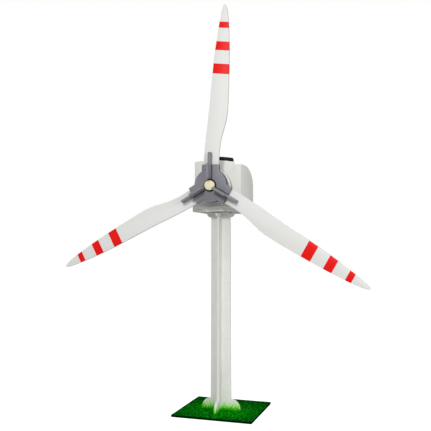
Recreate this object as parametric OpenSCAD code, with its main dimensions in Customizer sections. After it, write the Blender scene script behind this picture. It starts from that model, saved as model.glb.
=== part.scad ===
// Desk model of a three-bladed wind turbine, slotted together from die-cut board.
// The tower axis is Z, the underside of the base is z = 0 and the rotor faces -Y.

/* [Board and card] */
// Thickness of the die-cut board
board_t = 2.3; // [1.6:0.1:3.2]
// Thickness of the bent card sheets
card_t = 1.0; // [0.6:0.1:1.4]
// Clearance on each side of a tab in its slot
slot_play = 0.05; // [0.03:0.01:0.12]

/* [Base] */
// Width of the base plate, left to right
base_w = 82; // [60:1:140]
// Depth of the base plate, front to back
base_d = 80; // [60:1:140]
// How far the base centre lies behind the tower axis
base_shift = 6.3; // [0:0.1:12]

/* [Tower] */
// Height of the tower panels above the base plate
tower_h = 199.1; // [120:0.1:320]
// Width of a tower panel at its top
tower_top_w = 20.3; // [16:0.1:26]
// Width of a tower panel at its foot
tower_foot_w = 21.7; // [18:0.1:28]
// Half span of the rounded foot brackets
foot_reach = 20.6; // [16:0.1:28]
// Height of the rounded foot brackets
foot_h = 11.5; // [6:0.1:18]
// Half span of the rounded brackets under the nacelle
top_reach = 14.6; // [13.2:0.1:20]
// Height of the rounded brackets under the nacelle
top_bracket_h = 3.8; // [3:0.1:10]
// Distance from the tower axis to the near end of a foot tab
tab_near = 5; // [4:0.1:6.5]
// Length of a foot tab
tab_len = 9; // [5:0.1:10]

/* [Yaw pivot] */
// Radius of the upright wooden pivot pin
yaw_r = 1.5; // [1:0.1:2]
// Depth of the pin's seat in the tower
yaw_seat = 24; // [12:1:40]
// Half span of the square cap that carries the nacelle
cap_half = 10.4; // [9:0.1:14]
// Radius of the washer that the nacelle turns on
yaw_washer_r = 10; // [7:0.1:12]
// Thickness of that washer
yaw_washer_t = 0.6; // [0.4:0.1:1.5]
// Radius of the retaining collar inside the nacelle
yaw_collar_r = 5; // [3:0.1:8]
// Height of the retaining collar
yaw_collar_h = 4; // [2:0.1:6]

/* [Nacelle] */
// Width of the nacelle over its side panels
nacelle_w = 49.6; // [44:0.1:70]
// Distance from the tower axis forward to the front panel's face
nacelle_front = 11; // [9:0.1:16]
// Distance from the tower axis back to the rear of the cover
nacelle_back = 36.8; // [32:0.1:60]
// Height of the nacelle over its shoulders, floor included
nacelle_h = 48; // [44:0.1:70]
// How far the floor reaches in front of the front panel
chin_reach = 6; // [3:0.1:8]
// Height of the sloping chin piece on the floor's front edge
chin_h = 8; // [4:0.1:10]
// Height of the chin's upright front face
chin_lip = 3; // [1:0.1:3.5]
// Radius of the cover's long upper bend
cover_bend_r = 45; // [30:1:50]
// Angle through which the upper bend falls
cover_bend_angle = 30; // [15:1:40]
// Radius of the cover's tight rear bend
cover_corner_r = 16.6; // [10:0.1:18]
// Distance from the tower axis back to the inner bearing wall
bulkhead_y = 18; // [14:0.1:22]
// Height of the inner bearing wall above the axle
bulkhead_rise = 13.4; // [10:0.1:15]

/* [Crest] */
// How far the front panel's crest reaches to the right of the tower axis
crest_right = 17.6; // [14:0.1:22]
// Height of the crest above the shoulders
crest_rise = 4.7; // [3:0.1:8]
// How far the crown of the crest lies to the left of the tower axis
crest_crown_left = 8; // [0:0.1:12]
// Radius of the crest's crown
crest_crown_r = 140; // [80:1:200]
// Radius of the crest's right-hand corner
crest_corner_r = 4.5; // [3:0.1:6]
// Radius of the crest's left-hand corner
crest_edge_r = 1.8; // [1:0.1:3]
// Thickness of the black strip along the crest, at the crown
strip_t = 3.9; // [1:0.1:5]
// Depth of the black strip, front to back
strip_d = 2.6; // [2.4:0.1:6]
// How far the strip's outer curve is set to the left, so that its right end runs out thin
strip_taper = 1.2; // [0:0.1:3]
// How far the black strip reaches to the left of the tower axis
strip_left = 10; // [6:0.1:20]

/* [Axle and bearings] */
// Radius of the wooden axle dowel
axle_r = 4.85; // [3:0.05:6]
// Height of the axle above the nacelle floor's underside
axle_rise = 24.5; // [22.5:0.1:28]
// Running clearance of the axle in its bushes
axle_play = 0.06; // [0.02:0.01:0.1]
// Wall of the two bearing bushes
bush_wall = 2.2; // [1.2:0.1:3]
// Thickness of a bush flange
bush_flange_t = 2; // [1:0.1:3]
// Width of the axle collar behind the rear bush
collar_len = 5; // [3:0.1:8]

/* [Hub] */
// Length of the spacer between the front bush and the rear hub plate
spacer_len = 4; // [2:0.1:12]
// Radius of the front and rear hub plates
hub_r = 16.6; // [14:0.1:20]
// Radius that the front plate's three lugs reach
lug_reach = 20.8; // [19:0.1:26]
// Width of a lug
lug_w = 18.2; // [12:0.1:22]
// Gap between the back of the blades and the rear hub plate
hub_gap = 10.5; // [6:0.1:16]
// How far the axle's end stands in front of the front plate
axle_proud = 3.6; // [1:0.1:8]
// Open ring between the axle and the front plate
hub_eye_gap = 0.9; // [0.1:0.1:1.5]
// How far a fin stands in front of the front plate near the axle
fin_proud = 11.5; // [6:0.1:14]
// How far a fin's outer arm stands in front of the blade
fin_arm_proud = 8.2; // [4:0.1:10]
// Radius that a fin's outer arm reaches
fin_reach = 32.5; // [28:0.5:44]
// Gap between the axle and a fin's inner edge
fin_gap = 1.55; // [0.5:0.05:2.5]
// Step from a fin's inner edge out to its slot
fin_step = 2.4; // [1:0.1:3]
// Radius of a fin's rounded corners
fin_round = 1.5; // [0.5:0.1:2.5]

/* [Blades] */
// Radius of the rotor at the blade tips
rotor_r = 181; // [120:1:220]
// Direction of the first blade's root seen from the front, from +X towards +Z
blade_angle = 89; // [0:1:119]
// Angle by which a blade's outline is swept back from its root's direction
blade_sweep = 1; // [0:0.1:4]
// Lean of each blade's outline from its slot, left by hand assembly
blade_lean = [-1, 0.2, 0.8]; // [-2:0.1:2]
// Width of a blade at its root
blade_root_w = 15.6; // [12:0.1:19]
// Width of a blade at its widest
blade_max_w = 19; // [15:0.1:26]

/* [Hidden] */
$fn = 48;

blade_count = 3;
blade_step = 360 / blade_count;

// clearances
fit = 0.03;
yaw_play = 0.06;
collar_gap = 0.3;
pin_proud = 1;

// heights
base_top = board_t;
tower_top = base_top + tower_h;
halving_z = base_top + tower_h / 2;
cap_top = tower_top + card_t;
floor_z = cap_top + yaw_washer_t;
floor_top = floor_z + board_t;
shoulder_z = floor_z + nacelle_h;
wall_top = shoulder_z - card_t;
axle_z = floor_z + axle_rise;
bulkhead_top = axle_z + bulkhead_rise;
yaw_pin_top = floor_top + collar_gap + yaw_collar_h + pin_proud;

// nacelle walls
front_y = -nacelle_front;
front_back_y = front_y + board_t;
chin_y = front_y - chin_reach;
inner_half_w = nacelle_w / 2 - board_t;
wall_back = nacelle_back - card_t;
tab_d = board_t + 2 * slot_play;

// the cover's upper bend and its tight rear bend
cover_flat_end = nacelle_back - cover_bend_r * sin(cover_bend_angle)
    - cover_corner_r * (1 - sin(cover_bend_angle));
bend_end_z = shoulder_z - cover_bend_r * (1 - cos(cover_bend_angle));
corner_centre = [nacelle_back - cover_corner_r,
                 bend_end_z - cover_corner_r * cos(cover_bend_angle)];

// bearings
bush_r = axle_r + axle_play + bush_wall;
bush_rim = 2;
bush_flange_r = bush_r + bush_rim;
bush_face_y = front_y - bush_flange_t;

// rotor planes along Y, stacked forward from the front bush
rear_plate_back = bush_face_y - collar_gap - spacer_len;
rear_plate_y = rear_plate_back - board_t;
blade_back_y = rear_plate_y - hub_gap;
blade_front_y = blade_back_y - board_t;
plate_front_y = blade_front_y - slot_play - board_t;
axle_front_y = plate_front_y - axle_proud;

// collar planes along Y, stacked back from the rear bush
rear_flange_y = bulkhead_y + board_t;
collar_y = rear_flange_y + bush_flange_t + collar_gap;
axle_back_y = collar_y + collar_len + pin_proud;

// fins, blades and the slots that they share: radii from the axle
slot_wall = 2;
fin_inner = axle_r + fin_gap;
slot_inner = fin_inner + fin_step;
slot_outer = hub_r + slot_wall;
rear_slot_outer = hub_r - slot_wall;
blade_root = fin_inner + 4 * slot_play;
fin_shoulder = lug_reach + 4 * slot_play;

// a fin's levels in front of the rear plate's back
fin_tongue_end = rear_plate_back - blade_back_y;
fin_arm_seat = rear_plate_back - blade_front_y + slot_play;
fin_arm_front = rear_plate_back - blade_front_y + fin_arm_proud;
fin_seat = rear_plate_back - plate_front_y + slot_play;
fin_front = rear_plate_back - plate_front_y + fin_proud;

board_grey = [0.84, 0.84, 0.82];
hub_grey = [0.42, 0.41, 0.46];
grass_green = [0.02, 0.36, 0.03];
wood = [0.87, 0.80, 0.60];

// ---- helpers ----

// points on an arc about a centre, with two radii, from one angle to another
function arc(c, rx, ry, from, to, steps = 12) =
    [for (i = [0 : steps]) let (a = from + (to - from) * i / steps)
        [c[0] + rx * cos(a), c[1] + ry * sin(a)]];

// a smooth curve through the middle two of four values
function smooth(p, t) =
    0.5 * (2 * p[1] + (p[2] - p[0]) * t
        + (2 * p[0] - 5 * p[1] + 4 * p[2] - p[3]) * t * t
        + (3 * p[1] - p[0] - 3 * p[2] + p[3]) * t * t * t);

// a list of points made into a smooth edge that passes through all of them
function edge_curve(pts, steps = 4) = let (n = len(pts))
    [for (i = [0 : n - 2]) for (s = [0 : steps - 1])
        smooth([pts[max(i - 1, 0)], pts[i], pts[i + 1], pts[min(i + 2, n - 1)]], s / steps)];

// stands an outline drawn in X and Z upright, from y to y + t
module upright(y, t) {
    translate([0, y + t, 0]) rotate([90, 0, 0]) linear_extrude(t) children();
}

// stands an outline drawn in Y and Z upright, from x to x + t
module sideways(x, t) {
    translate([x, 0, 0]) rotate([90, 0, 90]) linear_extrude(t) children();
}

// a disc or ring about the rotor axis, from y0 to y1
module ring_y(r, hole, y0, y1) {
    translate([0, y1, axle_z]) rotate([90, 0, 0]) difference() {
        cylinder(h = y1 - y0, r = r);
        if (hole > 0)
            translate([0, 0, -1]) cylinder(h = y1 - y0 + 2, r = hole);
    }
}

// ---- base and tower ----

module base_plate() {
    color(grass_green) difference() {
        translate([-base_w / 2, base_shift - base_d / 2, 0]) cube([base_w, base_d, board_t]);
        for (turn = [0 : 90 : 270])
            rotate(turn) translate([tab_near - slot_play, -tab_d / 2, -1])
                cube([tab_len + 2 * slot_play, tab_d, board_t + 2]);
    }
}

// half of a tower panel's outline, to the right of the axis
function tower_edge() = let (foot = tower_foot_w / 2, top = tower_top_w / 2)
    concat(
        [[0, base_top], [tab_near, base_top], [tab_near, 0], [tab_near + tab_len, 0],
         [tab_near + tab_len, base_top]],
        arc([foot, base_top], foot_reach - foot, foot_h, 0, 90),
        arc([top, tower_top], top_reach - top, top_bracket_h, 270, 360),
        [[0, tower_top]]);

module tower_outline() {
    right = tower_edge();
    polygon(concat(right, [for (i = [len(right) - 2 : -1 : 1]) [-right[i][0], right[i][1]]]));
}

// the seat for the yaw pin at the head of both panels
module yaw_seat_cut() {
    translate([0, 0, tower_top - yaw_seat]) cylinder(h = yaw_seat + 1, r = yaw_r + fit);
}

// a panel with a halving slot over its upper or lower half
module tower_panel(slot_low, slot_high) {
    color(board_grey) difference() {
        upright(-board_t / 2, board_t) tower_outline();
        translate([-tab_d / 2, -board_t, slot_low])
            cube([tab_d, 2 * board_t, slot_high - slot_low]);
        yaw_seat_cut();
    }
}

module tower_panel_wide() {
    tower_panel(halving_z, tower_top + 1);
}

module tower_panel_cross() {
    rotate(90) tower_panel(base_top - 1, halving_z + slot_play);
}

module tower_cap() {
    color(board_grey) translate([0, 0, tower_top]) difference() {
        translate([-cap_half, -cap_half, 0]) cube([2 * cap_half, 2 * cap_half, card_t]);
        translate([0, 0, -1]) cylinder(h = card_t + 2, r = yaw_r + fit);
    }
}

module yaw_pin() {
    color(wood) translate([0, 0, tower_top - yaw_seat])
        cylinder(h = yaw_pin_top - tower_top + yaw_seat, r = yaw_r);
}

module yaw_washer() {
    color("dimgray") translate([0, 0, cap_top]) difference() {
        cylinder(h = yaw_washer_t, r = yaw_washer_r);
        translate([0, 0, -1]) cylinder(h = yaw_washer_t + 2, r = yaw_r + fit);
    }
}

module yaw_collar() {
    color("dimgray") translate([0, 0, floor_top + collar_gap]) difference() {
        cylinder(h = yaw_collar_h, r = yaw_collar_r);
        translate([0, 0, -1]) cylinder(h = yaw_collar_h + 2, r = yaw_r + fit);
    }
}

// ---- nacelle ----

module nacelle_floor() {
    color(board_grey) difference() {
        translate([-nacelle_w / 2, chin_y, floor_z])
            cube([nacelle_w, wall_back - chin_y, board_t]);
        translate([0, 0, floor_z - 1]) cylinder(h = board_t + 2, r = yaw_r + yaw_play);
    }
}

module nacelle_chin() {
    color(board_grey) sideways(-nacelle_w / 2, nacelle_w)
        polygon([[chin_y, floor_top], [front_y, floor_top], [front_y, floor_top + chin_h],
                 [chin_y, floor_top + chin_lip]]);
}

// the crest's outline above the shoulders: flush with the left wall, stepped in on the right
module crest_outline() {
    left = nacelle_w / 2;
    top = shoulder_z + crest_rise;
    intersection() {
        translate([-crest_crown_left, top - crest_crown_r]) circle(r = crest_crown_r, $fn = 360);
        hull() {
            translate([-left, shoulder_z - board_t]) square([left + crest_right, board_t]);
            translate([crest_edge_r - left, top - crest_edge_r])
                circle(r = crest_edge_r, $fn = 32);
            translate([crest_right - crest_corner_r, top - crest_corner_r])
                circle(r = crest_corner_r, $fn = 32);
        }
    }
}

// everything above the nacelle's shoulders
module above_shoulders() {
    translate([-nacelle_w, shoulder_z]) square([2 * nacelle_w, 2 * nacelle_h]);
}

module nacelle_front() {
    color(board_grey) difference() {
        upright(front_y, board_t) union() {
            translate([-nacelle_w / 2, floor_top]) square([nacelle_w, wall_top - floor_top]);
            crest_outline();
        }
        ring_y(bush_r + fit, 0, front_y - 1, front_back_y + 1);
    }
}

module nacelle_bulkhead() {
    color(board_grey) difference() {
        translate([-inner_half_w + slot_play, bulkhead_y, floor_top])
            cube([2 * (inner_half_w - slot_play), board_t, bulkhead_top - floor_top]);
        ring_y(bush_r + fit, 0, bulkhead_y - 1, bulkhead_y + board_t + 1);
    }
}

// the cover's two bends in Y and Z, set in by a distance
function cover_edge(inset) = concat(
    arc([cover_flat_end, shoulder_z - cover_bend_r], cover_bend_r - inset,
        cover_bend_r - inset, 90, 90 - cover_bend_angle, 8),
    arc(corner_centre, cover_corner_r - inset, cover_corner_r - inset,
        90 - cover_bend_angle, 0, 12));

module nacelle_side(x) {
    color(board_grey) sideways(x, board_t)
        polygon(concat([[front_back_y, wall_top]], cover_edge(card_t),
                       [[wall_back, floor_top], [front_back_y, floor_top]]));
}

module nacelle_side_left() {
    nacelle_side(-nacelle_w / 2);
}

module nacelle_side_right() {
    nacelle_side(inner_half_w);
}

module nacelle_cover() {
    color("whitesmoke") sideways(-nacelle_w / 2, nacelle_w)
        difference() {
            polygon(concat([[front_back_y, shoulder_z]], cover_edge(0),
                           [[nacelle_back, floor_z], [wall_back, floor_z],
                            [wall_back, corner_centre[1]], [front_back_y, corner_centre[1]]]));
            polygon(concat([[front_y - 1, wall_top]], cover_edge(card_t),
                           [[wall_back, floor_z - 1], [front_y - 1, floor_z - 1]]));
        }
}

// a bent strip over the crest, thick at the crown and thin where it runs down the corner
module crest_strip() {
    color("black") upright(front_y, strip_d) difference() {
        intersection() {
            translate([-strip_taper, strip_t]) crest_outline();
            above_shoulders();
            translate([-strip_left, shoulder_z])
                square([strip_left + crest_right, 2 * nacelle_h]);
        }
        offset(r = fit) crest_outline();
    }
}

// ---- bearings, axle and hub ----

module front_bush() {
    color(wood) union() {
        ring_y(bush_r, axle_r + axle_play, bush_face_y, front_back_y + 2);
        ring_y(bush_flange_r, axle_r + axle_play, bush_face_y, front_y);
    }
}

module rear_bush() {
    color(wood) union() {
        ring_y(bush_r, axle_r + axle_play, bulkhead_y - 2, rear_flange_y + bush_flange_t);
        ring_y(bush_flange_r, axle_r + axle_play, rear_flange_y, rear_flange_y + bush_flange_t);
    }
}

module axle_dowel() {
    color(wood) ring_y(axle_r, 0, axle_front_y, axle_back_y);
}

module axle_collar() {
    color("dimgray") ring_y(bush_flange_r - 1, axle_r + fit, collar_y, collar_y + collar_len);
}

module hub_spacer() {
    color(hub_grey) ring_y(bush_r, axle_r + fit, rear_plate_back, bush_face_y - collar_gap);
}

// a radial slot for a fin, from near the axle out to a radius
module fin_slot(outer) {
    translate([slot_inner - slot_play, -tab_d / 2])
        square([outer - slot_inner + 2 * slot_play, tab_d]);
}

module hub_front_plate() {
    color(hub_grey) translate([0, plate_front_y + board_t, axle_z]) rotate([90, 0, 0])
        linear_extrude(board_t) difference() {
            union() {
                circle(r = hub_r, $fn = 96);
                for (i = [0 : blade_count - 1])
                    rotate(blade_angle + i * blade_step) translate([0, -lug_w / 2])
                        square([lug_reach, lug_w]);
            }
            circle(r = axle_r + hub_eye_gap);
            for (i = [0 : blade_count - 1])
                rotate(blade_angle + i * blade_step) fin_slot(slot_outer);
        }
}

// a round hub plate with a slot for each fin
module hub_plate(y) {
    color(hub_grey) translate([0, y + board_t, axle_z]) rotate([90, 0, 0])
        linear_extrude(board_t) difference() {
            circle(r = hub_r, $fn = 96);
            circle(r = axle_r + fit);
            for (i = [0 : blade_count - 1])
                rotate(blade_angle + i * blade_step) fin_slot(rear_slot_outer);
        }
}

module hub_middle_plate() {
    hub_plate(blade_back_y + slot_play);
}

module hub_rear_plate() {
    hub_plate(rear_plate_y);
}

// a fin's outline: X is the radius and Y is the distance in front of the rear plate's back
module fin_outline() {
    polygon(concat(
        [[slot_inner, 0], [rear_slot_outer, 0], [rear_slot_outer, fin_tongue_end],
         [slot_outer, fin_tongue_end], [slot_outer, fin_seat], [fin_shoulder, fin_seat],
         [fin_shoulder, fin_arm_seat], [fin_reach, fin_arm_seat]],
        arc([fin_reach - fin_round, fin_arm_front - fin_round], fin_round, fin_round, 0, 90, 5),
        [[lug_reach, fin_arm_front]],
        arc([lug_reach - fin_round, fin_front - fin_round], fin_round, fin_round, 0, 90, 5),
        [[fin_inner, fin_front], [fin_inner, fin_seat], [slot_inner, fin_seat]]));
}

module hub_fin(index) {
    color(hub_grey) translate([0, rear_plate_back, axle_z])
        rotate([0, -blade_angle - index * blade_step, 0])
            translate([0, 0, -board_t / 2]) mirror([0, 1, 0])
                linear_extrude(board_t) fin_outline();
}

module hub_fin_1() {
    hub_fin(0);
}

module hub_fin_2() {
    hub_fin(1);
}

module hub_fin_3() {
    hub_fin(2);
}

// ---- blades ----

// stations along a blade: share of the span from the hub lugs to the tip, then the offset
// of the leading and the trailing edge, as shares of the widest width
blade_span = rotor_r - lug_reach;
function station(share, offset) = [lug_reach + share * blade_span,
    offset * blade_max_w - share * blade_span * tan(blade_sweep)];
root_half = blade_root_w / 2;
leading = [[blade_root, root_half], [lug_reach, root_half + 0.3], station(0.16, 0.38),
           station(0.35, 0.268), station(0.55, 0.195), station(0.7, 0.116),
           station(0.845, -0.016), station(0.92, -0.1), station(0.97, -0.175),
           station(0.993, -0.235), station(1, -0.295)];
trailing = [[blade_root, -root_half], [lug_reach, -root_half + 0.2], station(0.085, -0.395),
            station(0.16, -0.46), station(0.22, -0.58), station(0.29, -0.7),
            station(0.37, -0.735), station(0.55, -0.71), station(0.7, -0.665),
            station(0.845, -0.575), station(0.92, -0.505), station(0.97, -0.43),
            station(0.993, -0.36), station(1, -0.31)];

module blade_outline() {
    lower = concat(edge_curve(trailing), [trailing[len(trailing) - 1]]);
    upper = concat(edge_curve(leading), [leading[len(leading) - 1]]);
    polygon(concat(lower, [for (i = [len(upper) - 1 : -1 : 0]) upper[i]]));
}

module blade(index) {
    color("white") translate([0, blade_back_y, axle_z])
        rotate([90, 0, 0]) linear_extrude(board_t) rotate(blade_angle + index * blade_step)
            difference() {
                translate([lug_reach, 0]) rotate(blade_lean[index]) translate([-lug_reach, 0])
                    blade_outline();
                fin_slot(slot_outer);
            }
}

module blade_1() {
    blade(0);
}

module blade_2() {
    blade(1);
}

module blade_3() {
    blade(2);
}

base_plate();
tower_panel_wide();
tower_panel_cross();
tower_cap();
yaw_pin();
yaw_washer();
yaw_collar();
nacelle_floor();
nacelle_chin();
nacelle_front();
nacelle_bulkhead();
nacelle_side_left();
nacelle_side_right();
nacelle_cover();
crest_strip();
front_bush();
rear_bush();
axle_dowel();
axle_collar();
hub_spacer();
hub_front_plate();
hub_middle_plate();
hub_rear_plate();
hub_fin_1();
hub_fin_2();
hub_fin_3();
blade_1();
blade_2();
blade_3();
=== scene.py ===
# %% [markdown]
# # A desk wind turbine, slotted together from board
# The real object is a kit: flat pieces of board are pushed through each other's slots, a wooden
# dowel is the axle, and a sheet of card is bent over the nacelle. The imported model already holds
# every piece at its true size, so this script gives each one its eased edges, its paper and
# paint, and the grass at the tower's feet.

# %% Load the frame
import math

import bpy
from mathutils import Color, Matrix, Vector


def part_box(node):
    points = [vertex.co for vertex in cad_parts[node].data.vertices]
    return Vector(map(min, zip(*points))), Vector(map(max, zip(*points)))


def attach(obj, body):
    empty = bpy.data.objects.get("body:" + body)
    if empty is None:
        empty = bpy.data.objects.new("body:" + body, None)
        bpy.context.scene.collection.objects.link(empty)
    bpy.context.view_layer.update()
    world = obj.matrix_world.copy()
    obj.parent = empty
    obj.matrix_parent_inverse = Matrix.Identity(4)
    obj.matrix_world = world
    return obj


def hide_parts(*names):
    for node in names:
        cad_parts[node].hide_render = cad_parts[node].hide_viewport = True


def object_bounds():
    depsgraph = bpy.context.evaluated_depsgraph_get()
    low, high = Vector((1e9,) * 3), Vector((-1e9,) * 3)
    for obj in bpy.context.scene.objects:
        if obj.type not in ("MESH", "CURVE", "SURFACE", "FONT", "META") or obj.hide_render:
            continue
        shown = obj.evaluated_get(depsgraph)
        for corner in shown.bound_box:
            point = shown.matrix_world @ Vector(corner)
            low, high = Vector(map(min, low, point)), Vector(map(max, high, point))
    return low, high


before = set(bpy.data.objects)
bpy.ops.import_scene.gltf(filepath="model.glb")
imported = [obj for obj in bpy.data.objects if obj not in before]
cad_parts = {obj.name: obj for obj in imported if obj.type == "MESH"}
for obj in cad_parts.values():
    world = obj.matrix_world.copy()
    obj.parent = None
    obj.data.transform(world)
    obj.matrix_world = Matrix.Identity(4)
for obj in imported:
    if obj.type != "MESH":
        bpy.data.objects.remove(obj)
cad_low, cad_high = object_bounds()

MM = 0.001
print("pieces in the frame:", len(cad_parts), "height in mm:", round(cad_high.z / MM, 1))

# %% [markdown]
# ## Camera and studio
# The camera comes first, so that every later step can be judged through it. It stands low and
# a little to the right of the rotor, and looks slightly up. Both angles of turn are measured
# from the front view: one places the camera on its circle, and the other points it, so that
# the object can stand off the middle of the picture.

# %% Camera
EYE_TURN = math.radians(17.7)
EYE_DISTANCE = 0.639
EYE_HEIGHT = 0.1673
LOOK_TURN = math.radians(18.2)
LOOK_UP = math.radians(2.9)
LENS_MM = 51.79
NEAREST_SEEN = 0.01

bpy.ops.object.camera_add(
    location=(math.sin(EYE_TURN) * EYE_DISTANCE, -math.cos(EYE_TURN) * EYE_DISTANCE, EYE_HEIGHT),
    rotation=(math.radians(90) + LOOK_UP, 0, LOOK_TURN))
camera = bpy.context.object
camera.data.lens = LENS_MM
camera.data.clip_start = NEAREST_SEEN
bpy.context.scene.camera = camera
bpy.context.scene.view_settings.view_transform = "Standard"
print("camera at", [round(v, 3) for v in camera.location])

# %% [markdown]
# ## Soft light
# White board shows its shape only by small steps of grey, so the light has to be soft but not
# the same from everywhere. The sky gives an even ground, a small lamp up in front, near the
# camera's own side, draws short dark shadows under the hub's fins and hides the hub's own
# shadow behind it, and a broad one on the right keeps the nacelle's long wall bright.

# %% Sky and lamps
SKY_FOR_PIECES = 0.46
SKY_SEEN = 1.0


def sky():
    """A white surround: full white where it is seen, dimmer as a light."""
    world = bpy.data.worlds.new("studio")
    bpy.context.scene.world = world
    world.use_nodes = True
    tree = world.node_tree
    tree.nodes.clear()
    path = tree.nodes.new("ShaderNodeLightPath")
    strength = tree.nodes.new("ShaderNodeMix")
    strength.inputs["A"].default_value = SKY_FOR_PIECES
    strength.inputs["B"].default_value = SKY_SEEN
    background = tree.nodes.new("ShaderNodeBackground")
    background.inputs["Color"].default_value = (1, 1, 1, 1)
    output = tree.nodes.new("ShaderNodeOutputWorld")
    tree.links.new(path.outputs["Is Camera Ray"], strength.inputs["Factor"])
    tree.links.new(strength.outputs["Result"], background.inputs["Strength"])
    tree.links.new(background.outputs["Background"], output.inputs["Surface"])


def lamp(name, place, target, size, watts):
    """A square area lamp that faces its target."""
    place = Vector(place)
    turn = (Vector(target) - place).to_track_quat("-Z", "Y").to_euler()
    bpy.ops.object.light_add(type="AREA", location=place, rotation=turn)
    light = bpy.context.object
    light.name = name
    light.data.size = size
    light.data.energy = watts
    print(name, watts, "W")


middle = (cad_low + cad_high) / 2
sky()
lamp("key", place=(0.10, -1.09, 0.66), target=middle, size=0.16, watts=4.9)
lamp("side", place=(0.88, -0.55, 0.35), target=middle, size=0.60, watts=3.2)

# %% [markdown]
# ## Floor
# A plain sheet, far larger than the view. It has to look white right up to the base, yet must
# not light the nacelle's underside like a lamp, so it glows for the eye alone and is a calm
# grey for the light that bounces off it.

# %% Floor
FLOOR_GLOW = 0.88
FLOOR_GREY = 0.50
FLOOR_SIZE = 12

bpy.ops.mesh.primitive_plane_add(size=FLOOR_SIZE, location=(0, 0, 0))
floor = bpy.context.object
floor.name = "floor"
floor_paint = bpy.data.materials.new("floor_white")
floor_paint.use_nodes = True
tree = floor_paint.node_tree
floor_shader = tree.nodes["Principled BSDF"]
floor_shader.inputs["Base Color"].default_value = (FLOOR_GREY, FLOOR_GREY, FLOOR_GREY, 1)
floor_shader.inputs["Roughness"].default_value = 1.0
floor_shader.inputs["Emission Color"].default_value = (1, 1, 1, 1)
seen = tree.nodes.new("ShaderNodeLightPath")
glow = tree.nodes.new("ShaderNodeMath")
glow.operation = "MULTIPLY"
glow.inputs[1].default_value = FLOOR_GLOW
tree.links.new(seen.outputs["Is Camera Ray"], glow.inputs[0])
tree.links.new(glow.outputs[0], floor_shader.inputs["Emission Strength"])
floor.data.materials.append(floor_paint)
print("floor laid,", FLOOR_SIZE, "m across")

# %% [markdown]
# ## Shader helpers
# Every finish below is built from a few kinds of node, so short helpers save a lot of typing.
# Wherever a socket is filled, a plain value and a link from another node both do. Groups are
# started with named sockets, and are later placed in a material by their name.

# %% Node helpers
def fill(tree, socket, value):
    """Links a socket to another node's output, or sets its own value."""
    if isinstance(value, bpy.types.NodeSocket):
        tree.links.new(value, socket)
    else:
        socket.default_value = value


def add(tree, kind, settings=None, **sockets):
    """Adds a node, sets its options, and fills its sockets by name."""
    node = tree.nodes.new("ShaderNode" + kind)
    for key, value in (settings or {}).items():
        setattr(node, key, value)
    for key, value in sockets.items():
        fill(tree, node.inputs[key.replace("_", " ")], value)
    return node


def maths(tree, operation, a, b=0.0, c=0.0, clamp=False):
    """The result of a Math node on up to three values."""
    node = add(tree, "Math", {"operation": operation, "use_clamp": clamp})
    for socket, value in zip(node.inputs, (a, b, c)):
        fill(tree, socket, value)
    return node.outputs[0]


def vector_maths(tree, operation, a, b=None):
    """The result of a Vector Math node on one or two vectors."""
    node = add(tree, "VectorMath", {"operation": operation})
    fill(tree, node.inputs[0], a)
    if b is not None:
        fill(tree, node.inputs[1], b)
    return node.outputs["Value" if operation in ("DOT_PRODUCT", "LENGTH") else "Vector"]


def largest(tree, values):
    """The largest of several values."""
    top = values[0]
    for value in values[1:]:
        top = maths(tree, "MAXIMUM", top, value)
    return top


def ramp(tree, value, start, end, **settings):
    """0 where the value is at start, 1 where it is at end, and held past both."""
    node = add(tree, "MapRange", settings, Value=value, From_Min=start, From_Max=end)
    return node.outputs[0]


def blend_colour(tree, mask, a, b):
    """Colour a where the mask is 0, and b where it is 1."""
    node = add(tree, "Mix", {"data_type": "RGBA"})
    sockets = {socket.identifier: socket for socket in (*node.inputs, *node.outputs)}
    for name, value in (("Factor_Float", mask), ("A_Color", a), ("B_Color", b)):
        fill(tree, sockets[name], value)
    return sockets["Result_Color"]


print("node helpers ready")


# %% Group and material helpers
def group(name, inputs, outputs):
    """A new shader group. Inputs and outputs are (name, kind) or (name, kind, value)."""
    tree = bpy.data.node_groups.new(name, "ShaderNodeTree")
    for label, kind, *value in inputs:
        socket = tree.interface.new_socket(label, in_out="INPUT", socket_type="NodeSocket" + kind)
        if value:
            socket.default_value = value[0]
    for label, kind in outputs:
        tree.interface.new_socket(label, in_out="OUTPUT", socket_type="NodeSocket" + kind)
    return tree, tree.nodes.new("NodeGroupInput").outputs, tree.nodes.new("NodeGroupOutput").inputs


def use(tree, name, **sockets):
    """Places a group in a material, fills its inputs and gives its outputs."""
    group_node = {"node_tree": bpy.data.node_groups[name]}
    return add(tree, "Group", group_node, **sockets).outputs


def material(name):
    """A new material: its tree, its shader and the object's own coordinates."""
    mat = bpy.data.materials.new(name)
    mat.use_nodes = True
    tree = mat.node_tree
    return mat, tree, tree.nodes["Principled BSDF"], add(tree, "TexCoord").outputs["Object"]


def bumped(tree, shader, height, distance, strength, sunk=False):
    """Raises the shader's surface by a height, or sinks it."""
    lift = add(tree, "Bump", {"invert": sunk}, Height=height, Distance=distance, Strength=strength)
    tree.links.new(lift.outputs["Normal"], shader.inputs["Normal"])


def colour(red, green, blue):
    """A colour as it looks on a screen, each part from 0 to 255, as the shader wants it."""
    seen_on_screen = Color((red / 255, green / 255, blue / 255))
    return (*seen_on_screen.from_srgb_to_scene_linear(), 1.0)


print("group and material helpers ready")

# %% [markdown]
# ## Paper grain
# Board is pressed fibre: under the paint there is a fine felted tooth, over a few centimetres
# the tone drifts a little, and here and there a darker fibre shows as a short fleck. The tooth
# and the drift are plain noise, one very fine and one broad. A fleck is noise that is pulled
# long and then cut off high, so that only its rare peaks are left.

# %% Group: paper grain
TOOTH_SCALE = 1600.0
DRIFT_SCALE = 40.0
FLECK_SCALE = 1500.0
FLECK_TURN = (0.5, 0.9, 0.3)
FLECK_PULL = (1.0, 1.0, 0.3)
RARE_PEAKS = (0.76, 0.82)

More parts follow.
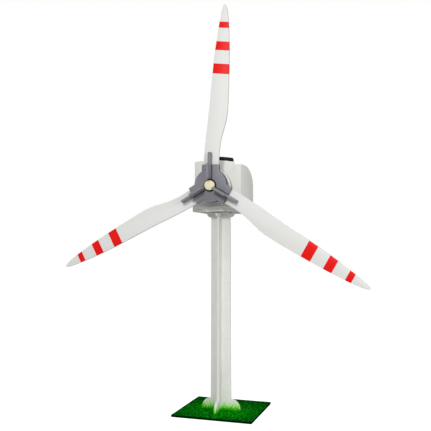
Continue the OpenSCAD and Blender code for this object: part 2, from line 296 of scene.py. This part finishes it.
grain, take, give = group(
    "paper grain",
    [("Vector", "Vector"), ("Tooth", "Float", TOOTH_SCALE), ("Drift", "Float", DRIFT_SCALE)],
    [("Tooth", "Float"), ("Drift", "Float"), ("Flecks", "Float")])
fine = add(grain, "TexNoise", Vector=take["Vector"], Scale=take["Tooth"],
           Detail=5.0, Roughness=0.65)
broad = add(grain, "TexNoise", Vector=take["Vector"], Scale=take["Drift"], Detail=3.0)
pulled = add(grain, "Mapping", {"vector_type": "POINT"}, Vector=take["Vector"],
             Rotation=FLECK_TURN, Scale=FLECK_PULL)
fibre = add(grain, "TexNoise", Vector=pulled.outputs["Vector"], Scale=FLECK_SCALE, Detail=0.0)
grain.links.new(fine.outputs["Fac"], give["Tooth"])
grain.links.new(broad.outputs["Fac"], give["Drift"])
grain.links.new(ramp(grain, fibre.outputs["Fac"], *RARE_PEAKS), give["Flecks"])
print("group:", grain.name)

# %% [markdown]
# ## Cut layers
# Where the die goes through, the edge shows the board's layers as fine lines that run round
# the piece. The group measures how deep a point lies in the board, along the board's own
# thickness, and turns that depth into lines with a ragged, torn look.

# %% Group: cut layers
LAYER_PITCH = 0.45 * MM
TEAR = 5.0

layers, take, give = group(
    "cut layers",
    [("Vector", "Vector"), ("Across", "Vector", (0.0, 0.0, 1.0))],
    [("Lines", "Float")])
depth = vector_maths(layers, "DOT_PRODUCT", take["Vector"], take["Across"])
ragged = add(layers, "TexNoise", Vector=take["Vector"], Scale=700.0, Detail=4.0)
turns = maths(layers, "MULTIPLY", depth, math.tau / LAYER_PITCH)
torn = maths(layers, "MULTIPLY_ADD", ragged.outputs["Fac"], TEAR, turns)
lines = maths(layers, "MULTIPLY_ADD", maths(layers, "SINE", torn), 0.5, 0.5)
layers.links.new(lines, give["Lines"])
print("group:", layers.name)

# %% [markdown]
# ## Distance from the axle
# The painted shade round the axle's eye and the pale ring on the rear plate depend on how far a
# point lies from the axle's line, which runs front to back. So the axle is found once, from the
# dowel's own box, and a group measures that distance.

# %% Group: axle radius
axle_low, axle_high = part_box("axle_dowel")
AXLE = Vector(((axle_low.x + axle_high.x) / 2, 0.0, (axle_low.z + axle_high.z) / 2))
ACROSS_AXLE = (1.0, 0.0, 1.0)

around, take, give = group("axle radius", [("Vector", "Vector")], [("Radius", "Float")])
from_axle = vector_maths(around, "SUBTRACT", take["Vector"], AXLE)
flattened = vector_maths(around, "MULTIPLY", from_axle, ACROSS_AXLE)
around.links.new(vector_maths(around, "LENGTH", flattened), give["Radius"])
print("axle at z =", round(AXLE.z / MM, 2), "mm")

# %% [markdown]
# ## Painted board
# Most pieces share one recipe: a satin paint over board. The tone drifts a little, the tooth
# of the paper breaks the shine, and the cut edges get the layer lines and a slightly duller
# tone. One function makes the face and one the edge, in any colour.

# %% Board tones
TOOTH_LIFT = 0.05 * MM
LAYER_LIFT = 0.06 * MM
TONE_SPREAD = (0.38, 0.62)
FLECK = colour(150, 146, 138)
FLECK_SHOWS = 0.35
BOARD_LIGHT, BOARD_DARK = colour(239, 239, 235), colour(231, 231, 226)


def face_tone(tree, paper, light, dark):
    """Two close tones that follow the paper, with a few darker flecks."""
    drift = maths(tree, "MULTIPLY", paper["Drift"], 0.5)
    both = maths(tree, "MULTIPLY_ADD", paper["Tooth"], 0.5, drift)
    tone = blend_colour(tree, ramp(tree, both, *TONE_SPREAD), dark, light)
    return blend_colour(tree, maths(tree, "MULTIPLY", paper["Flecks"], FLECK_SHOWS), tone, FLECK)


def edge_tone(tree, paper, lines, light, dark):
    """The light tone, worn darker here and there along the cut layers' lines."""
    return blend_colour(tree, maths(tree, "MULTIPLY", lines, paper["Drift"]), light, dark)


print("tones of board ready")

# %% Board finishes
SATIN_VARIES, SATIN_DROP = 0.25, 0.12
SOFT_BUMP, FIRM_BUMP = 0.5, 0.6
LINES_ROUGHEN = 0.1
HUB_TOOTH = 1100.0
HUB_ROUGHNESS = 0.5
HUB_LIGHT, HUB_DARK = colour(143, 142, 150), colour(120, 120, 128)


def board_face(name, light, dark, roughness=0.62, tooth=TOOTH_SCALE, marks=None):
    """The broad face of a painted board, between two close tones, with marks if it has any."""
    mat, tree, shader, place = material(name)
    paper = use(tree, "paper grain", Vector=place, Tooth=tooth)
    tone = face_tone(tree, paper, light, dark)
    if marks:
        tone = marks(tree, place, tone)
    tree.links.new(tone, shader.inputs["Base Color"])
    rough = maths(tree, "MULTIPLY_ADD", paper["Tooth"], SATIN_VARIES, roughness - SATIN_DROP)
    tree.links.new(rough, shader.inputs["Roughness"])
    bumped(tree, shader, paper["Tooth"], TOOTH_LIFT, FIRM_BUMP)
    return mat


def board_edge(name, light, dark, across, roughness=0.78):
    """The cut edge of a board whose thickness runs along across."""
    mat, tree, shader, place = material(name)
    lines = use(tree, "cut layers", Vector=place, Across=across)["Lines"]
    paper = use(tree, "paper grain", Vector=place)
    tree.links.new(edge_tone(tree, paper, lines, light, dark), shader.inputs["Base Color"])
    rough = maths(tree, "MULTIPLY_ADD", lines, LINES_ROUGHEN, roughness)
    tree.links.new(rough, shader.inputs["Roughness"])
    bumped(tree, shader, lines, LAYER_LIFT, SOFT_BUMP)
    return mat


X, Y, Z = (1.0, 0.0, 0.0), (0.0, 1.0, 0.0), (0.0, 0.0, 1.0)
grey_face = board_face("grey_board", BOARD_LIGHT, BOARD_DARK)
grey_edges = {axis: board_edge("grey_edge_" + name, colour(234, 234, 229),
                               colour(206, 206, 199), axis)
              for name, axis in (("x", X), ("y", Y), ("z", Z))}
hub_face = board_face("hub_board", HUB_LIGHT, HUB_DARK, HUB_ROUGHNESS, HUB_TOOTH)
# The hub's cut edges are near black: partly their own dark tone, partly painted shade of the
# narrow gaps between the hub's plates.
hub_edge = board_edge("hub_edge", colour(40, 40, 46), colour(14, 14, 18), Y, roughness=0.6)
print("board finishes:", [m.name for m in bpy.data.materials if "board" in m.name])

# %% [markdown]
# ## Painted shade beside the hub's fins
# A dark line of painted shade lies beside each fin on the hub's front plate, where the fin's
# shadow falls at its slot. Such a line lies where a point is close to a fin's own line, on the
# fin's side of the axle, so the group measures how far beside the nearest fin's line a point lies.

# %% Group: fin slot shade
FIN_TURNS = (89.0, 209.0, 329.0)
SLOT_START = 5 * MM
FAR_AWAY = 1.0


def spoke(degrees):
    """A direction in the rotor's plane, turned from +X towards +Z."""
    turn = math.radians(degrees)
    return Vector((math.cos(turn), 0.0, math.sin(turn)))


slots, take, give = group("fin slot shade", [("Vector", "Vector")], [("Beside", "Float")])
from_axle = vector_maths(slots, "SUBTRACT", take["Vector"], AXLE)
nearest = FAR_AWAY
for turn in FIN_TURNS:
    outward = vector_maths(slots, "DOT_PRODUCT", from_axle, spoke(turn))
    sideways = vector_maths(slots, "DOT_PRODUCT", from_axle, spoke(turn + 90))
    other_side = maths(slots, "LESS_THAN", outward, SLOT_START)
    beside = maths(slots, "ADD", maths(slots, "ABSOLUTE", sideways), other_side)
    nearest = maths(slots, "MINIMUM", nearest, beside)
slots.links.new(nearest, give["Beside"])
print("group:", slots.name)

# %% [markdown]
# ## Marks on the hub's plates
# A brown ring of painted shade lies round the axle's eye on the front plate, and the rear
# plate's paint stops short of its rim, so that a pale line runs round it. Each mark is a
# colour laid over the board's own tone, inside or outside a radius, with a short soft step.

# %% Hub marks
EYE_SHADE_RING = (7.0 * MM, 5.9 * MM)
BARE_RING = (12.0 * MM, 12.4 * MM)
SLOT_SHADE_LINE = (2.15 * MM, 1.80 * MM)


def eye_and_fin_shade(tree, place, tone):
    """Painted shade: a brown ring round the axle's eye, and dark lines beside the fins."""
    radius = use(tree, "axle radius", Vector=place)["Radius"]
    # painted shade: a brown ring round the axle's eye
    tone = blend_colour(tree, ramp(tree, radius, *EYE_SHADE_RING), tone, colour(58, 42, 28))
    # painted shade: a dark line beside each fin
    beside = use(tree, "fin slot shade", Vector=place)["Beside"]
    return blend_colour(tree, ramp(tree, beside, *SLOT_SHADE_LINE), tone, colour(34, 34, 38))


def bare_ring(tree, place, tone):
    """Bare pale board outside the paint."""
    radius = use(tree, "axle radius", Vector=place)["Radius"]
    return blend_colour(tree, ramp(tree, radius, *BARE_RING), tone, colour(236, 236, 231))


front_face = board_face("hub_front_board", HUB_LIGHT, HUB_DARK, HUB_ROUGHNESS, HUB_TOOTH,
                        eye_and_fin_shade)
rear_face = board_face("hub_rear_board", HUB_LIGHT, HUB_DARK, HUB_ROUGHNESS, HUB_TOOTH,
                       bare_ring)
print("marks on", front_face.name, "and", rear_face.name)

# %% [markdown]
# ## How far out along a blade
# Each blade is white with three red bands near its tip, laid on by hand and a little askew, so
# each blade has its own direction across which its bands run. What matters is the distance
# from the axle along that direction. A point on any blade lies furthest along its own
# direction, so the largest of the three distances is the right one.

# %% Group: blade reach
BAND_TURNS = (82.0, 207.8, 330.2)

reach, take, give = group("blade reach", [("Vector", "Vector")], [("Reach", "Float")])
from_axle = vector_maths(reach, "SUBTRACT", take["Vector"], AXLE)
along = [vector_maths(reach, "DOT_PRODUCT", from_axle, spoke(turn)) for turn in BAND_TURNS]
reach.links.new(largest(reach, along), give["Reach"])
print("group:", reach.name)

# %% [markdown]
# ## Blade paint
# A band is a span of that distance. Real tape or paint never has a ruler's edge, so the
# distance wobbles a little with the paper, and the band's paint is slightly glossier and
# stands a little higher than the white. The blade's cut edge gets the same bands, because the
# paint wraps round it, in duller tones that are partly painted shade on the edge.

# %% Blade finish
RED_BANDS = ((111.0, 121.0), (134.5, 143.3), (157.0, 163.0))
BAND_EDGE = 0.25 * MM
BAND_WOBBLE = 0.8 * MM
BAND_GLOSS = 0.12
BAND_HEIGHT = 0.8
BLADE_DRIFT = 25.0
BLADE_SPREAD = (0.3, 0.7)
BLADE_SHINE = 0.2


def band_mask(tree, distance):
    """1 inside any red band, 0 outside, with a narrow soft edge."""
    masks = []
    for start, end in RED_BANDS:
        middle_of_band = (start + end) * MM / 2
        half_width = (end - start) * MM / 2
        off = maths(tree, "ABSOLUTE", maths(tree, "SUBTRACT", distance, middle_of_band))
        inside = maths(tree, "SUBTRACT", half_width, off)
        masks.append(maths(tree, "MULTIPLY_ADD", inside, 1 / BAND_EDGE, 0.5, clamp=True))
    return largest(tree, masks)


def blade_finish(name, white, shade, red, deep_red, roughness):
    """White board paint with red bands laid over it."""
    mat, tree, shader, place = material(name)
    paper = use(tree, "paper grain", Vector=place, Drift=BLADE_DRIFT)
    wobble = maths(tree, "MULTIPLY_ADD", paper["Drift"], BAND_WOBBLE, -BAND_WOBBLE / 2)
    distance = maths(tree, "ADD", use(tree, "blade reach", Vector=place)["Reach"], wobble)
    bands = band_mask(tree, distance)
    spread = ramp(tree, paper["Tooth"], *BLADE_SPREAD)
    ground = blend_colour(tree, spread, shade, white)
    paint = blend_colour(tree, spread, deep_red, red)
    tree.links.new(blend_colour(tree, bands, ground, paint), shader.inputs["Base Color"])
    rough = maths(tree, "MULTIPLY_ADD", bands, -BAND_GLOSS, roughness)
    tree.links.new(rough, shader.inputs["Roughness"])
    shader.inputs["Specular IOR Level"].default_value = BLADE_SHINE
    height = maths(tree, "MULTIPLY_ADD", bands, BAND_HEIGHT, paper["Tooth"])
    bumped(tree, shader, height, TOOTH_LIFT, SOFT_BUMP)
    return mat


blade_face = blade_finish("blade_board", colour(238, 238, 235), colour(231, 231, 228),
                          colour(250, 22, 14), colour(232, 12, 8), roughness=0.55)
# The cut edge's duller white and red are partly the edge's own tone, partly painted shade.
blade_edge = blade_finish("blade_edge", colour(226, 226, 220), colour(196, 196, 190),
                          colour(225, 20, 14), colour(190, 10, 6), roughness=0.75)
print("red bands on each blade:", len(RED_BANDS))

# %% [markdown]
# ## Printed grass
# The base carries a print of mown grass: short strokes that lean every way. A stroke is noise
# that is stretched many times longer than it is wide. Three sets of strokes at different
# angles, of which the brightest wins at each point, read as blades lying over each other.

# %% Group: grass strokes
STROKE_LEANS = (12, 62, -38)
STROKE_PULL = (1.0, 0.16, 1.0)
STROKE_CRISP = (0.54, 0.72)
SHIFT_X, SHIFT_Y = 0.013, 0.007

strokes, take, give = group(
    "grass strokes",
    [("Vector", "Vector"), ("Fineness", "Float", 900.0)],
    [("Strokes", "Float")])
lying = []
for lean in STROKE_LEANS:
    turned = add(strokes, "Mapping", {"vector_type": "POINT"}, Vector=take["Vector"],
                 Rotation=(0.0, 0.0, math.radians(lean)), Scale=STROKE_PULL,
                 Location=(SHIFT_X * lean, SHIFT_Y * lean, 0.0))
    noise = add(strokes, "TexNoise", Vector=turned.outputs["Vector"],
                Scale=take["Fineness"], Detail=2.0)
    lying.append(noise.outputs["Fac"])
strokes.links.new(ramp(strokes, largest(strokes, lying), *STROKE_CRISP), give["Strokes"])
print("group:", strokes.name)

# %% [markdown]
# ## The base's print
# The grass is brighter round the tower and darker towards the corners, and the border between
# the two is uneven, so a broad noise is added to the distance from the middle. The print is
# ink on board with no gloss at all: any shine would wash out the deep greens.

# %% Grass finishes
LIT_PATCH = 34 * MM
LIT_FROM, LIT_FULL = 1.7, 0.3
LIT_SHAPE = (1.0, 1.15, 0.0)
PATCHY, PATCHY_DROP = 0.9, -0.42
GRASS_DRIFT = 60.0
INK_ROUGHNESS = 0.9


def matt(shader, roughness):
    """Printed ink on board: no gloss, so that the greens stay deep."""
    shader.inputs["Roughness"].default_value = roughness
    shader.inputs["Specular IOR Level"].default_value = 0.0


def grass_print():
    """The printed top of the base."""
    mat, tree, shader, place = material("grass_print")
    blades = use(tree, "grass strokes", Vector=place)["Strokes"]
    paper = use(tree, "paper grain", Vector=place, Drift=GRASS_DRIFT)
    away = vector_maths(tree, "LENGTH", vector_maths(tree, "MULTIPLY", place, LIT_SHAPE))
    near = ramp(tree, away, LIT_PATCH * LIT_FROM, LIT_PATCH * LIT_FULL,
                interpolation_type="SMOOTHSTEP")
    patchy = maths(tree, "MULTIPLY_ADD", paper["Drift"], PATCHY, PATCHY_DROP)
    lit = maths(tree, "ADD", near, patchy, clamp=True)
    far_tone = blend_colour(tree, blades, colour(0, 58, 8), colour(4, 132, 26))
    near_tone = blend_colour(tree, blades, colour(0, 98, 4), colour(34, 196, 24))
    tree.links.new(blend_colour(tree, lit, far_tone, near_tone), shader.inputs["Base Color"])
    matt(shader, INK_ROUGHNESS)
    bumped(tree, shader, blades, TOOTH_LIFT, FIRM_BUMP)
    return mat


grass_top = grass_print()
grass_edge = board_edge("grass_edge", colour(2, 38, 8), colour(0, 14, 2), Z)
matt(grass_edge.node_tree.nodes["Principled BSDF"], INK_ROUGHNESS)
print("grass finishes:", grass_top.name, "and", grass_edge.name)

# %% [markdown]
# ## Standing grass
# The tower's feet are printed with upright grass: separate pointed leaves of different heights
# that fan outwards and cross each other, deep green at the root and lime at the tip. Noise
# alone would blur them, so each row of leaves is drawn exactly. The board is cut into narrow
# columns, a random number per column gives the leaf its height, and the leaf is wherever a
# point lies closer to its column's middle than the leaf is wide at that height. Each row has
# its own column width in millimetres, its own lean and its own shift in columns.

# %% Group: standing grass
GRASS_TOP_OF_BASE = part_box("base_plate")[1].z
LEAF_ROWS = ((2.3, 0.30, 0.0), (1.7, -0.32, 0.4), (2.7, 0.06, 0.8))
ROW_APART = 40
LEAF_LOW, LEAF_HIGH = 3.6 * MM, 11.5 * MM
FAN = 36.0
LEAF_CRISP = 9.0
TIP_LIGHT, SIDE_DARK, CHANCE_LIGHT = 0.95, -0.5, 0.15

standing, take, give = group(
    "standing grass",
    [("Vector", "Vector"), ("Along", "Vector", (1.0, 0.0, 0.0))],
    [("Leaves", "Float"), ("Tone", "Float")])
sideways = vector_maths(standing, "DOT_PRODUCT", take["Vector"], take["Along"])
height_above_floor = add(standing, "SeparateXYZ", Vector=take["Vector"]).outputs["Z"]
up = maths(standing, "SUBTRACT", height_above_floor, GRASS_TOP_OF_BASE)
fanned = maths(standing, "MULTIPLY", sideways, maths(standing, "MULTIPLY_ADD", up, -FAN, 1.0))
leaves, tone = 0.0, 0.0
for row, (pitch, lean, shift) in enumerate(LEAF_ROWS):
    leant = maths(standing, "MULTIPLY_ADD", up, -lean, fanned)
    column = maths(standing, "MULTIPLY_ADD", leant, 1 / (pitch * MM), shift + ROW_APART * row)
    number = maths(standing, "FLOOR", column)
    chance = add(standing, "TexWhiteNoise", {"noise_dimensions": "1D"}, W=number).outputs["Value"]
    tall = maths(standing, "MULTIPLY_ADD", chance, LEAF_HIGH - LEAF_LOW, LEAF_LOW)
    share = maths(standing, "DIVIDE", up, tall)
    half_width = maths(standing, "MULTIPLY_ADD", share, -0.5, 0.5)
    in_column = maths(standing, "SUBTRACT", column, number)
    off_middle = maths(standing, "ABSOLUTE", maths(standing, "SUBTRACT", in_column, 0.5))
    inside = maths(standing, "SUBTRACT", half_width, off_middle)
    leaf = maths(standing, "MULTIPLY_ADD", inside, LEAF_CRISP, 0.5, clamp=True)
    lighter_up = maths(standing, "MULTIPLY", share, TIP_LIGHT)
    rib = maths(standing, "MULTIPLY_ADD", off_middle, SIDE_DARK, lighter_up)
    own_tone = maths(standing, "MULTIPLY_ADD", chance, CHANCE_LIGHT, rib, clamp=True)
    behind = maths(standing, "MULTIPLY", tone, maths(standing, "SUBTRACT", 1.0, leaf))
    tone = maths(standing, "MULTIPLY_ADD", own_tone, leaf, behind)
    leaves = maths(standing, "MAXIMUM", leaves, leaf)
standing.links.new(leaves, give["Leaves"])
standing.links.new(tone, give["Tone"])
print("group:", standing.name, "with", len(LEAF_ROWS), "rows of leaves")

# %% [markdown]
# ## Tower board with grass at its foot
# Above the grass the tower's panels are grey like the nacelle. The leaves are laid over that
# grey, so that the board shows white between their tips. A leaf's tone runs from its root's
# deep green through a bright middle to a lime tip.

# %% Tower finish
TOWER_ROUGHNESS = 0.65
ROOT, BODY, TIP = colour(10, 140, 8), colour(96, 232, 30), colour(206, 255, 122)
ROOT_TO_BODY, BODY_TO_TIP = (0.0, 0.5), (0.4, 1.0)


def tower_finish(name, across, along, is_edge=False):
    """Grey board above, printed grass below, for a face or a cut edge."""
    mat, tree, shader, place = material(name)
    paper = use(tree, "paper grain", Vector=place)
    if is_edge:
        height = use(tree, "cut layers", Vector=place, Across=across)["Lines"]
        ground = edge_tone(tree, paper, height, colour(238, 238, 233), colour(212, 212, 205))
    else:
        height = paper["Tooth"]
        ground = face_tone(tree, paper, BOARD_LIGHT, BOARD_DARK)
    grass = use(tree, "standing grass", Vector=place, Along=along)
    leaf = blend_colour(tree, ramp(tree, grass["Tone"], *ROOT_TO_BODY), ROOT, BODY)
    leaf = blend_colour(tree, ramp(tree, grass["Tone"], *BODY_TO_TIP), leaf, TIP)
    tree.links.new(blend_colour(tree, grass["Leaves"], ground, leaf), shader.inputs["Base Color"])
    matt(shader, TOWER_ROUGHNESS)
    bumped(tree, shader, height, TOOTH_LIFT, SOFT_BUMP)
    return mat


wide_face = tower_finish("tower_face_wide", Y, X)
wide_edge = tower_finish("tower_edge_wide", Y, Y, is_edge=True)
cross_face = tower_finish("tower_face_cross", X, Y)
cross_edge = tower_finish("tower_edge_cross", X, X, is_edge=True)
print("tower finishes ready")

# %% [markdown]
# ## Wood
# The axle is a turned dowel: pale rings on its end, long pores along its side, and painted
# shade, dark brown, along the side where it sits in the hub's eye. Rings are a wave of the
# distance from the pith, which is never quite in the middle, and pores are noise pulled long
# along the grain.

# %% Wood
RING_PITCH = 0.9 * MM
RING_WANDER = 4.0
RING_SHOWS = 0.25
PITH_OFF_CENTRE = Vector((0.7, 0.7, 0.4)) * MM
ALONG_GRAIN = 0.06
PORE_PEAKS = (0.55, 0.75)
PORES_SHOW = 0.6
EYE_SHADE_DEPTH = (axle_low.y + 2.6 * MM, axle_low.y + 3.8 * MM)
WOOD_ROUGHNESS = 0.7


def wood(name, pale, dark, along, centre, shaded_in_eye=False):
    """Dowel wood whose grain runs along an axis through centre, if asked with painted shade, dark
    brown, where it sits in the hub's eye.
    """
    mat, tree, shader, place = material(name)
    stretch = tuple(ALONG_GRAIN if a else 1.0 for a in along)
    across = tuple(0.0 if a else 1.0 for a in along)
    from_pith = vector_maths(tree, "SUBTRACT", place, Vector(centre) + PITH_OFF_CENTRE)
    radius = vector_maths(tree, "LENGTH", vector_maths(tree, "MULTIPLY", from_pith, across))
    grain_at = add(tree, "Mapping", {"vector_type": "POINT"}, Vector=place,
                   Scale=stretch).outputs["Vector"]
    pores = add(tree, "TexNoise", Vector=grain_at, Scale=2600.0, Detail=3.0)
    wander = add(tree, "TexNoise", Vector=grain_at, Scale=320.0, Detail=2.0)
    phase = maths(tree, "MULTIPLY", radius, math.tau / RING_PITCH)
    rings = maths(tree, "SINE", maths(tree, "MULTIPLY_ADD", wander.outputs["Fac"],
                                      RING_WANDER, phase))
    ring_mask = maths(tree, "MULTIPLY_ADD", rings, RING_SHOWS, RING_SHOWS)
    pore_mask = ramp(tree, pores.outputs["Fac"], *PORE_PEAKS)
    mask = maths(tree, "MULTIPLY_ADD", pore_mask, PORES_SHOW, ring_mask, clamp=True)
    tone = blend_colour(tree, mask, pale, dark)
    if shaded_in_eye:
        # painted shade: the dowel's side dark brown where it sits in the hub's eye
        depth = add(tree, "SeparateXYZ", Vector=place).outputs["Y"]
        tone = blend_colour(tree, ramp(tree, depth, *EYE_SHADE_DEPTH), tone, colour(58, 42, 24))
    tree.links.new(tone, shader.inputs["Base Color"])
    shader.inputs["Roughness"].default_value = WOOD_ROUGHNESS
    bumped(tree, shader, mask, TOOTH_LIFT, SOFT_BUMP, sunk=True)
    return mat


MIDDLE_OF_TOWER = (0, 0, 0)
axle_wood = wood("axle_wood", colour(252, 247, 214), colour(218, 200, 144), Y, AXLE,
                 shaded_in_eye=True)
bush_wood = wood("bush_wood", colour(226, 208, 164), colour(176, 148, 98), Y, AXLE)
pin_wood = wood("pin_wood", colour(226, 208, 164), colour(176, 148, 98), Z, MIDDLE_OF_TOWER)
print("wood finishes ready")

# %% [markdown]
# ## Card, plastic and a near-black strip
# The nacelle's cover is smoother card than the rest, the washer and the collars are moulded
# plastic with a fine eroded skin, and the strip on the crest is near black: a dark piece of
# painted shade standing in the shaded gap under the cover's edge, with a dull rubber skin. All
# three are an even speckle between two close tones, and differ in tone, shine and fineness.

# %% Plastic, rubber and card
SKIN_DRIFT = 90.0
SKIN_SPREAD = (0.12, 0.4)
SKIN_VARIES, SKIN_DROP = 0.2, 0.1


def speckled(name, light, dark, roughness, fineness, lift_by):
    """A moulded or pressed skin with a fine even speckle."""
    mat, tree, shader, place = material(name)
    paper = use(tree, "paper grain", Vector=place, Tooth=fineness, Drift=SKIN_DRIFT)
    both = maths(tree, "MULTIPLY", paper["Tooth"], paper["Drift"])
    tone = blend_colour(tree, ramp(tree, both, *SKIN_SPREAD), dark, light)
    tree.links.new(tone, shader.inputs["Base Color"])
    rough = maths(tree, "MULTIPLY_ADD", paper["Tooth"], SKIN_VARIES, roughness - SKIN_DROP)
    tree.links.new(rough, shader.inputs["Roughness"])
    bumped(tree, shader, paper["Tooth"], lift_by, SOFT_BUMP)
    return mat


# painted shade: the crest strip stands in the dark gap under the cover's edge
black_strip = speckled("black_strip", colour(14, 14, 14), colour(3, 3, 3),
                       roughness=0.8, fineness=3000.0, lift_by=0.08 * MM)
washer_plastic = speckled("washer_plastic", colour(70, 70, 74), colour(48, 48, 52),
                          roughness=0.45, fineness=2400.0, lift_by=0.03 * MM)
bent_card = speckled("bent_card", colour(240, 240, 236), colour(231, 231, 226),
                     roughness=0.5, fineness=2200.0, lift_by=0.02 * MM)
print("materials so far:", len(bpy.data.materials))

# %% [markdown]
# ## Eased board pieces
# A die crushes the corner of the board as it cuts, so no edge is knife sharp, and it is that
# narrow rounded line that catches the light. The flat shapes are right already, so each piece
# starts as a copy of its solid: the copy's loose triangles are merged and rejoined where they
# lie flat, its corners are rounded with a narrow bevel, and its faces are told apart from its
# cut edges by the way they point.

# %% Easing helper
EASE = 0.22 * MM
EASE_STEPS = 3
SHARP = math.radians(30)
FLAT = math.radians(0.5)
SAME_POINT = 0.002 * MM
FACING_ACROSS = 0.6


def choose_only(piece):
    """Makes one object the selected and active one."""
    bpy.ops.object.select_all(action="DESELECT")
    piece.select_set(True)
    bpy.context.view_layer.objects.active = piece


def finish_with(piece, kind, **settings):
    """Adds a modifier, sets it and applies it."""
    choose_only(piece)
    modifier = piece.modifiers.new(kind.lower(), kind)
    for key, value in settings.items():
        setattr(modifier, key, value)
    bpy.ops.object.modifier_apply(modifier=modifier.name)


def copy_of(node):
    """A clean copy of a CAD node: merged, its flat areas rejoined, its own mesh."""
    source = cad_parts[node]
    piece = bpy.data.objects.new(node + "_eased", source.data.copy())
    bpy.context.scene.collection.objects.link(piece)
    choose_only(piece)
    if piece.data.has_custom_normals:
        bpy.ops.mesh.customdata_custom_splitnormals_clear()
    bpy.ops.object.mode_set(mode="EDIT")
    bpy.ops.mesh.select_all(action="SELECT")
    bpy.ops.mesh.remove_doubles(threshold=SAME_POINT)
    bpy.ops.mesh.dissolve_limited(angle_limit=FLAT)
    bpy.ops.object.mode_set(mode="OBJECT")
    return piece


def eased(node, body, face, edge=None, across=None, ease=EASE):
    """Stands for a CAD node: rounded corners, one finish on its faces, one on its cut edges."""
    piece = copy_of(node)
    finish_with(piece, "BEVEL", width=ease, segments=EASE_STEPS, limit_method="ANGLE",
                angle_limit=SHARP, use_clamp_overlap=True)
    piece.data.materials.clear()
    piece.data.materials.append(face)
    if edge:
        piece.data.materials.append(edge)
        thickness = Vector(across)
        for polygon in piece.data.polygons:
            facing = abs(polygon.normal.dot(thickness))
            polygon.material_index = int(facing < FACING_ACROSS)
    choose_only(piece)
    bpy.ops.object.shade_smooth_by_angle(angle=SHARP)
    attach(piece, body)
    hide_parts(node)
    print(piece.name, len(piece.data.polygons), "faces")


print("every piece gets corners of", round(EASE / MM, 2), "mm unless it says otherwise")

# %% [markdown]
# ## Base and tower
# The base is one square of board with a cross of slots, and the tower is two long panels that
# slide into each other and stand in it on tabs. A small card closes the tower's head, and a
# wooden pin, a washer and a collar carry the nacelle on it.

# %% Stand pieces
eased("base_plate", "stand", grass_top, grass_edge, Z, ease=0.3 * MM)
eased("tower_panel_wide", "stand", wide_face, wide_edge, Y)
eased("tower_panel_cross", "stand", cross_face, cross_edge, X)
eased("tower_cap", "stand", grey_face, grey_edges[Z], Z)
eased("yaw_pin", "stand", pin_wood)
eased("yaw_washer", "stand", washer_plastic, ease=0.12 * MM)
eased("yaw_collar", "stand", washer_plastic, ease=0.4 * MM)

# %% [markdown]
# ## Nacelle
# A floor, a sloping chin, a front panel, an inner bearing wall and two side walls, with a sheet
# bent over them. The strip on the crest is softer than board and the two bushes are turned
# wood, so their corners are rounder.

# %% Nacelle pieces
eased("nacelle_floor", "nacelle", grey_face, grey_edges[Z], Z)
eased("nacelle_chin", "nacelle", grey_face)
eased("nacelle_front", "nacelle", grey_face, grey_edges[Y], Y)
eased("nacelle_bulkhead", "nacelle", grey_face, grey_edges[Y], Y)
eased("nacelle_side_left", "nacelle", grey_face, grey_edges[X], X)
eased("nacelle_side_right", "nacelle", grey_face, grey_edges[X], X)
eased("nacelle_cover", "nacelle", bent_card, ease=0.15 * MM)
# The crest strip is near black: painted shade of the gap under the cover's edge.
eased("crest_strip", "nacelle", black_strip, ease=0.35 * MM)
eased("front_bush", "nacelle", bush_wood, ease=0.4 * MM)
eased("rear_bush", "nacelle", bush_wood, ease=0.4 * MM)

# %% [markdown]
# ## Rotor
# The dowel runs through everything. One round plate lies in front of the blades and two behind
# them, and three fins are pushed through all of it to lock blades and plates together.

# %% Rotor pieces
eased("axle_dowel", "rotor", axle_wood, ease=0.5 * MM)
eased("axle_collar", "rotor", washer_plastic, ease=0.4 * MM)
eased("hub_spacer", "rotor", hub_face)
for plate, plate_face in (("hub_front_plate", front_face), ("hub_middle_plate", hub_face),
                          ("hub_rear_plate", rear_face)):
    eased(plate, "rotor", plate_face, hub_edge, Y)
for number in (1, 2, 3):
    eased(f"hub_fin_{number}", "rotor", hub_face)
    eased(f"blade_{number}", "rotor", blade_face, blade_edge, Y)
